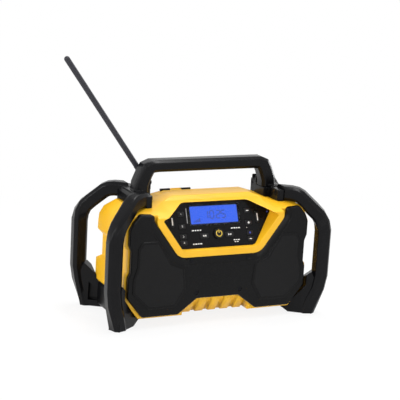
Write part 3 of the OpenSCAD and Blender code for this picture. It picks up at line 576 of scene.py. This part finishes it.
def make_grille():
    front = merged("speaker_grille", "grille_front")
    pad_y = low("speaker_grille").y
    face_y = pad_y + PAD_H * MM

    def on_plane(line, y):
        ends = [v.co.y for v in line.verts]
        return max(abs(e - y) for e in ends) < 0.05 * MM and line.calc_face_angle_signed() > 0.5

    def wall_depth(line):
        return max(max(v.co.y for v in face.verts) - min(v.co.y for v in face.verts)
            for face in line.link_faces) / MM

    round_where(front, lambda line: on_plane(line, pad_y), PAD_EDGE, 3)
    round_where(front, lambda line: on_plane(line, face_y)
        and wall_depth(line) > OUTLINE_DEPTH, OUTLINE_EDGE, 4)
    round_where(front, lambda line: on_plane(line, face_y)
        and wall_depth(line) < OUTLINE_DEPTH, CHANNEL_EDGE, 3)
    smooth(front)
    sheet = twin(front, "sound_mesh_sheets")
    fit(front, "chassis", "black_grille", front_black, "speaker_grille")
    # The punched sheet lies on each raised pad, inside a plain rim.
    edit(sheet)
    pick(sheet, lambda middle, normal: not (normal.y < -0.99 and middle.y < pad_y + 0.1 * MM))
    bpy.ops.mesh.delete(type="FACE")
    mesh = bmesh.from_edit_mesh(sheet.data)
    for side in (-1, 1):
        corners = [v for v in mesh.verts if v.co.x * side > 0]
        for axis in (0, 2):
            spots = [v.co[axis] for v in corners]
            centre = (min(spots) + max(spots)) / 2
            for corner in corners:
                corner.co[axis] = centre + (corner.co[axis] - centre) * SHEET_SHARE
    bmesh.update_edit_mesh(sheet.data)
    bpy.ops.mesh.select_all(action="SELECT")
    bpy.ops.mesh.extrude_region_move(TRANSFORM_OT_translate={"value": (0, -SHEET_T * MM, 0)})
    bpy.ops.mesh.select_all(action="SELECT")
    bpy.ops.mesh.normals_make_consistent(inside=False)
    leave()
    bpy.ops.object.shade_flat()
    fit(sheet, "chassis", "black_grille", punched)


# ---------------------------------------------------------------- control panel

def make_panel():
    plate = softened("panel_plate", "control_fascia", 0.35)
    fit(plate, "chassis", "black_panel", gloss, "panel_plate")
    glass = softened("display_glass", "display_cover", 0.25)
    fit(glass, "chassis", "display_glass", clear_cover, "display_glass")


def panel_block(name, width, height, bottom, top, corner=0.6, rim=0.4):
    """A rounded block drawn at the origin, from bottom to top out of the panel."""
    bpy.ops.mesh.primitive_cube_add(size=1)
    block = named(name)
    block.scale = (width * MM, height * MM, (top - bottom) * MM)
    block.location = (0, 0, (top + bottom) / 2 * MM)
    bpy.ops.object.transform_apply(location=True, rotation=True, scale=True)
    edit(block, "EDGE")
    bpy.ops.mesh.select_all(action="DESELECT")
    mesh = bmesh.from_edit_mesh(block.data)
    for line in mesh.edges:
        across = line.verts[0].co - line.verts[1].co
        line.select_set(abs(across.z) > 0.9 * across.length)
    bmesh.update_edit_mesh(block.data)
    bpy.ops.mesh.bevel(offset=corner * MM, segments=4, affect="EDGES")
    pick(block, lambda middle, normal: normal.z > 0.9)
    bpy.ops.mesh.inset(thickness=rim * MM, depth=0)
    bpy.ops.transform.translate(value=(0, 0, rim * 0.5 * MM))
    leave()
    only(block)
    bpy.ops.object.shade_smooth_by_angle(angle=math.radians(35))
    return block


def bar_mark(width, height, across=0.0, up=0.0):
    """A bar of ink, a thin rounded block lying on its key or on the panel. Most bars are print; the
    strips on the rockers and the bar beside the screen are painted highlights.
    """
    mark = panel_block("mark", width, height, 0, 0.08, corner=min(width, height) * 0.45, rim=0.05)
    wear(mark, white_print_and_highlight_ink)
    return placed(mark, Matrix.Translation((across * MM, up * MM, 0)))


def arrow_mark(size, across, turn):
    """A printed triangle that points along its turn in degrees."""
    bpy.ops.mesh.primitive_circle_add(vertices=3, radius=size * MM, fill_type="NGON")
    mark = named("mark")
    edit(mark)
    bpy.ops.mesh.select_all(action="SELECT")
    bpy.ops.mesh.extrude_region_move(TRANSFORM_OT_translate={"value": (0, 0, 0.1 * MM)})
    leave()
    wear(mark, white_print_and_highlight_ink)
    return placed(mark, Matrix.Translation((across * MM, 0, 0))
        @ Matrix.Rotation(math.radians(turn - 90), 4, "Z"))


def digit_mark(number, size):
    """A printed number."""
    bpy.ops.object.text_add()
    text = bpy.context.active_object
    text.data.body = str(number)
    text.data.size = size * MM
    text.data.align_x = "CENTER"
    text.data.align_y = "CENTER"
    text.data.extrude = 0.05 * MM
    bpy.ops.object.convert(target="MESH")
    mark = named("mark")
    wear(mark, white_print_and_highlight_ink)
    return mark


def finish_key(node, cap, marks, top, material=None):
    """Joins a key's cap and marks, and sets them in the panel at the node's place."""
    wear(cap, material or key_rubber)
    spot = on_panel(node)
    for mark in marks:
        placed(mark, Matrix.Translation((0, 0, top * MM)))
    key = joined(node + "_cap", cap, *marks)
    placed(key, PANEL @ Matrix.Translation((spot.x * MM, spot.y * MM, 0)))
    fit(key, node + "_body", "key_rubber", None, node)


# Keys, in millimetres out of the panel's face, and their width and height on it
KEY_TOP = 0.8
KEY_BACK = -4.4
KEY_SIZE = (12, 8)
TRACK_SIZE = (16, 9)
ROCKER_SIZE = (7, 20)


# Corner and rim of the small keys, the track keys and the rocker keys
KEY_EDGES = (1.6, 0.5)
TRACK_EDGES = (2.0, 0.6)
ROCKER_EDGES = (2.4, 0.9)
# Small and track keys are drawn this much lower, for their domed tops
KEY_DOME = 0.25


def make_keys():
    for row in range(1, 5):
        cap = panel_block("cap", *KEY_SIZE, KEY_BACK, KEY_TOP - KEY_DOME, *KEY_EDGES)
        finish_key(f"left_key_{row}", cap, [digit_mark(row, 4.6)], KEY_TOP)
    right_marks = {
        1: [bar_mark(5, 1.2)],
        2: [bar_mark(4.6, 1.3), bar_mark(1.3, 4.6)],
        3: [],
        4: [bar_mark(5, 1.1)]}
    for row, marks in right_marks.items():
        cap = panel_block("cap", *KEY_SIZE, KEY_BACK, KEY_TOP - KEY_DOME, *KEY_EDGES)
        finish_key(f"right_key_{row}", cap, marks, KEY_TOP)
    for node, turn in (("track_back_key", 180), ("track_next_key", 0)):
        cap = panel_block("cap", *TRACK_SIZE, KEY_BACK, KEY_TOP - KEY_DOME, *TRACK_EDGES)
        marks = [arrow_mark(2.0, -1.8, turn), arrow_mark(2.0, 1.8, turn)]
        finish_key(node, cap, marks, KEY_TOP)
    for node in ("left_rocker_key", "right_rocker_key"):
        cap = panel_block("cap", *ROCKER_SIZE, KEY_BACK, KEY_TOP, *ROCKER_EDGES)
        # The white strip on each rocker is a painted highlight: the glint on its rounded face.
        finish_key(node, cap, [bar_mark(1.8, 13)], KEY_TOP + 0.45)


# The power button's cap, and the open ring and stem of its symbol
POWER_R = 8.5
POWER_TOP = 4.5
RING_R = 5.1
RING_WIRE_R = 0.75
STEM_SIZE = (1.5, 5.4)


def make_power_button():
    bpy.ops.mesh.primitive_cylinder_add(vertices=64, radius=POWER_R * MM,
        depth=(POWER_TOP - KEY_BACK) * MM, location=(0, 0, (POWER_TOP + KEY_BACK) / 2 * MM))
    cap = named("cap")
    bpy.ops.object.transform_apply(location=True, rotation=True, scale=True)
    edit(cap)
    pick(cap, lambda middle, normal: normal.z > 0.9)
    bpy.ops.mesh.inset(thickness=0.9 * MM, depth=0)
    bpy.ops.mesh.inset(thickness=0.35 * MM, depth=0)
    bpy.ops.transform.translate(value=(0, 0, -0.5 * MM))
    bpy.ops.mesh.inset(thickness=2.4 * MM, depth=0)
    bpy.ops.transform.translate(value=(0, 0, -0.25 * MM))
    leave()
    round_edges(cap, 0.25, 2, 40)
    wear(cap, key_rubber)
    bpy.ops.mesh.primitive_torus_add(major_radius=RING_R * MM, minor_radius=RING_WIRE_R * MM,
        major_segments=48, minor_segments=10, location=(0, 0, (POWER_TOP - 0.8) * MM))
    symbol = named("symbol")
    symbol = placed(symbol, symbol.matrix_world.copy())
    edit(symbol)
    pick(symbol, lambda middle, normal: middle.y > 3 * MM and abs(middle.x) < 2.4 * MM)
    bpy.ops.mesh.delete(type="FACE")
    bpy.ops.mesh.select_all(action="SELECT")
    bpy.ops.mesh.select_mode(type="EDGE")
    bpy.ops.mesh.region_to_loop()
    bpy.ops.mesh.fill_holes(sides=0)
    leave()
    wear(symbol, yellow_ink)
    stem = bar_mark(*STEM_SIZE, 0, 3.6)
    placed(stem, Matrix.Translation((0, 0, (POWER_TOP - 0.5) * MM)))
    wear(stem, yellow_ink)
    button = joined("power_button_cap", cap, symbol, stem)
    spot = on_panel("power_button")
    placed(button, PANEL @ Matrix.Translation((spot.x * MM, spot.y * MM, 0)))
    fit(button, "power_button_body", "power_button", None, "power_button")


# The screen on the panel, its front's depth behind the panel's face, and its digits
SCREEN_SIZE = (88, 31)
SCREEN_SPOT = (0, 56.7)
SCREEN_BACK = -2.05
DIGIT_W = 7
DIGIT_H = 13
BAR_W = 1.7
# Free length at the ends of a digit's level and upright bars
BAR_GAP = (1.6, 1.2)
# Which of the seven bars of a digit are lit: top, upper right, lower right, bottom,
# lower left, upper left, middle
SEGMENTS = {"0": "1111110", "1": "0110000", "2": "1101101", "5": "1011011"}


def segment_bars(figure, across):
    """The lit bars of one seven-bar digit."""
    half_w = DIGIT_W / 2
    half_h = DIGIT_H / 2
    level = (DIGIT_W - BAR_GAP[0], BAR_W)
    upright = (BAR_W, half_h - BAR_GAP[1])
    spots = [
        (0, half_h, *level), (half_w, half_h / 2, *upright), (half_w, -half_h / 2, *upright),
        (0, -half_h, *level), (-half_w, -half_h / 2, *upright), (-half_w, half_h / 2, *upright),
        (0, 0, *level)]
    return [bar_mark(w, h, across + x, y)
        for (x, y, w, h), lit in zip(spots, SEGMENTS[figure]) if lit == "1"]


def make_display():
    screen = panel_block("backlit_screen", *SCREEN_SIZE, SCREEN_BACK - 1, SCREEN_BACK, 2.2, 0.3)
    placed(screen, PANEL @ Matrix.Translation((SCREEN_SPOT[0] * MM, SCREEN_SPOT[1] * MM, 0)))
    fit(screen, "chassis", "display_module", screen_blue)
    bars = []
    for figure, across in (("1", -15.5), ("0", -4.5), ("2", 7.5), ("5", 17)):
        bars += segment_bars(figure, across)
    bars += [bar_mark(1.1, 1.1, 1.5, 2.4), bar_mark(1.1, 1.1, 1.5, -2.4)]
    bars += [bar_mark(2, 2 + 1.5 * k, -38 + 3.2 * k, -11 + 0.75 * k) for k in range(4)]
    figures = joined("display_figures", *bars)
    wear(figures, segment_blue)
    placed(figures, PANEL @ Matrix.Translation(
        (SCREEN_SPOT[0] * MM, SCREEN_SPOT[1] * MM, (SCREEN_BACK + 0.24) * MM)))
    fit(figures, "chassis", "display_module", None)


# Printed rows of plain dashes on the panel: left end, middle up, height, dash widths
PANEL_ROWS = [
    (-45.5, 30.8, 1.9, (4.2, 2.6, 3.4, 3.0)), (27.7, 31.2, 1.9, (3.4, 3.8, 2.4, 3.6)),
    (-46.7, 7.8, 1.9, (3.0, 4.0, 2.4, 3.8)), (30.3, 10.8, 1.5, (3.0, 2.2, 3.8)),
    (31.5, 7.6, 1.5, (2.6, 3.4)), (57, 30.5, 1.2, (1.2,))]


def make_panel_print():
    marks = []
    for left, up, height, widths in PANEL_ROWS:
        for width in widths:
            marks.append(bar_mark(width, height, left + width / 2, up))
            left += width + 1.3
    # The grey bar left of the screen is a painted highlight: the glint on the bezel's left edge.
    edge = bar_mark(1.3, 26, -52, 56.5)
    wear(edge, painted_highlight_ink)
    lamp = panel_block("lamp", 2.6, 2.6, 0, 0.3, 1.2, 0.4)
    placed(lamp, Matrix.Translation((100.5 * MM, 56 * MM, 0)))
    wear(lamp, blue_lamp)
    dot = panel_block("dot", 3.2, 3.2, KEY_TOP - 0.1, KEY_TOP + 0.12, 1.5, 0.2)
    wear(dot, blue_lamp)
    spot = on_panel("right_key_3")
    placed(dot, PANEL @ Matrix.Translation((spot.x * MM, spot.y * MM, 0)))
    dot.name = "right_key_3_lamp"
    fit(dot, "right_key_3_body", "key_rubber", None)
    printed = joined("panel_print", marks[0], *marks[1:], edge, lamp)
    placed(printed, PANEL)
    fit(printed, "chassis", "black_panel", None)


# ---------------------------------------------------------------- aerial and back

def make_aerial():
    mast = softened("aerial_mast", "aerial", 0.5, angle=40)
    fit(mast, "aerial", "aerial_rubber", sleeve_painted_sheen, "aerial_mast")
    for node in ("aerial_base", "aerial_clip"):
        fit(softened(node, node + "_moulding", 0.5), "chassis", "black_moulding", trim, node)


def make_back():
    pieces = {"battery_dock": 0.6, "socket_tray": 0.4, "power_inlet": 0.5}
    for node, width in pieces.items():
        fit(softened(node, node + "_moulding", width), "chassis", "black_moulding", trim, node)
    fit(softened("socket_door", "socket_door_moulding", 0.5), "socket_door_body",
        "black_moulding", trim, "socket_door")


def make_screws():
    for node in ("grille_screws", "housing_screws", "cage_screws", "handle_screws"):
        fit(softened(node, node + "_heads", 0.3, angle=40), "chassis", "zinc_steel",
            dark_steel, node)


# Nodes that keep their construction shape, and the finish each one takes
KEPT = {
    "display_module": trim, "control_board": board_green, "main_board": board_green,
    "power_supply": steel, "left_speaker_frame": steel, "right_speaker_frame": steel,
    "left_speaker_cone": paper, "right_speaker_cone": paper,
    "left_speaker_magnet": magnet_black, "right_speaker_magnet": magnet_black,
    "battery_terminals": blade_brass, "usb_socket": steel, "aux_socket": trim,
    "door_hinge_pin": steel, "aerial_pin": steel}


def dress_kept_nodes():
    for name, finish in KEPT.items():
        wear(nodes[name], finish)


# ---------------------------------------------------------------- studio

FLOOR_SIZE = 60
# Distance from the radio in metres, and how much of the floor is plain white there
SHADOW_NEAR = (0.3, 0.86)
SHADOW_FAR = (0.9, 1.0)


def make_floor():
    bpy.ops.mesh.primitive_plane_add(size=FLOOR_SIZE)
    floor = named("studio_floor")
    material, tree, place = blank("pale_studio_floor")
    grain = add(tree, "ShaderNodeTexNoise", {"Vector": place, "Scale": 3.0})
    tone = add(tree, "ShaderNodeMixRGB",
        {"Fac": grain.outputs[0], "Color1": linear("#efefef"), "Color2": linear("#f4f4f4")})
    matt = add(tree, "ShaderNodeBsdfDiffuse", {"Color": tone.outputs[0]})
    white = add(tree, "ShaderNodeEmission", {"Color": (1, 1, 1, 1), "Strength": 1.0})
    rays = add(tree, "ShaderNodeLightPath")
    seen = add(tree, "ShaderNodeMath",
        {0: rays.outputs["Is Camera Ray"], 1: rays.outputs["Is Glossy Ray"]}, operation="MAXIMUM")
    seen = add(tree, "ShaderNodeMath",
        {0: seen.outputs[0], 1: rays.outputs["Is Transmission Ray"]}, operation="MAXIMUM")
    # Near the radio its shadow shows on the floor; further off the floor is plain white.
    away = add(tree, "ShaderNodeVectorMath", {0: place}, operation="LENGTH")
    white_share = add(tree, "ShaderNodeMapRange",
        {"Value": away.outputs["Value"], "From Min": SHADOW_NEAR[0], "From Max": SHADOW_FAR[0],
            "To Min": SHADOW_NEAR[1], "To Max": SHADOW_FAR[1]})
    share = add(tree, "ShaderNodeMath",
        {0: seen.outputs[0], 1: white_share.outputs[0]}, operation="MULTIPLY")
    mixed = add(tree, "ShaderNodeMixShader",
        {"Fac": share.outputs[0], 1: matt.outputs[0], 2: white.outputs[0]})
    add(tree, "ShaderNodeOutputMaterial", {"Surface": mixed.outputs[0]})
    wear(floor, material)


# Strength of the even light from all round; the background itself is seen at strength 1
EVEN_LIGHT = 0.62


def make_world():
    world = bpy.data.worlds.new("white_studio")
    bpy.context.scene.world = world
    world.use_nodes = True
    tree = world.node_tree
    tree.nodes.clear()
    rays = add(tree, "ShaderNodeLightPath")
    seen = add(tree, "ShaderNodeMath",
        {0: rays.outputs["Is Camera Ray"], 1: rays.outputs["Is Glossy Ray"]}, operation="MAXIMUM")
    seen = add(tree, "ShaderNodeMath",
        {0: seen.outputs[0], 1: rays.outputs["Is Transmission Ray"]}, operation="MAXIMUM")
    light = add(tree, "ShaderNodeBackground", {"Color": (1, 1, 1, 1), "Strength": EVEN_LIGHT})
    white = add(tree, "ShaderNodeBackground", {"Color": (1, 1, 1, 1), "Strength": 1.0})
    mixed = add(tree, "ShaderNodeMixShader",
        {"Fac": seen.outputs[0], 1: light.outputs[0], 2: white.outputs[0]})
    add(tree, "ShaderNodeOutputWorld", {"Surface": mixed.outputs[0]})


# Lamps: name, place in metres, width and height, watts
LAMPS = [
    ("overhead_softbox", (0.2, 0.05, 1.4), (1.3, 0.28), 14.5),
    ("right_strip", (1.6, 0.6, 0.55), (0.2, 0.9), 7),
    ("left_softbox", (-1.6, -0.35, 0.75), (0.2, 0.8), 11),
    ("front_fill", (0.3, -2.0, 0.55), (0.9, 0.6), 4),
    ("key_softbox", (-1.3, -1.35, 1.35), (0.3, 0.25), 5)]
LAMP_AIM = Vector((0, 0, 0.15))


def make_lamp(name, place, size, power):
    lamp = bpy.data.lights.new(name, "AREA")
    lamp.shape = "RECTANGLE"
    lamp.size, lamp.size_y = size
    lamp.energy = power
    holder = bpy.data.objects.new(name, lamp)
    bpy.context.scene.collection.objects.link(holder)
    holder.location = place
    aim = LAMP_AIM - Vector(place)
    holder.rotation_euler = aim.to_track_quat("-Z", "Y").to_euler()


def make_lamps():
    for lamp in LAMPS:
        make_lamp(*lamp)


# The camera as fitted to the photo, with its lens and film width in millimetres
CAMERA_PLACE = Vector((-0.93759, -1.92490, 0.69465))
CAMERA_LOOK = Vector((0.42418, 0.87661, -0.22719)).normalized()
CAMERA_UP = Vector((0.04785, 0.22884, 0.97229))
LENS = 114.72
FILM = 36


def make_camera():
    lens = bpy.data.cameras.new("photo_camera")
    lens.lens = LENS
    lens.sensor_width = FILM
    lens.sensor_fit = "HORIZONTAL"
    lens.clip_end = 100
    holder = bpy.data.objects.new("photo_camera", lens)
    bpy.context.scene.collection.objects.link(holder)
    right = CAMERA_LOOK.cross(CAMERA_UP).normalized()
    up = right.cross(CAMERA_LOOK)
    turn = Matrix((right, up, -CAMERA_LOOK)).transposed().to_4x4()
    holder.matrix_world = Matrix.Translation(CAMERA_PLACE) @ turn
    bpy.context.scene.camera = holder


make_housings()
make_cage()
make_grille()
make_panel()
make_display()
make_keys()
make_power_button()
make_panel_print()
make_aerial()
make_back()
make_screws()
dress_kept_nodes()
make_floor()
make_world()
make_lamps()
make_camera()

bpy.context.scene.view_settings.view_transform = "Standard"
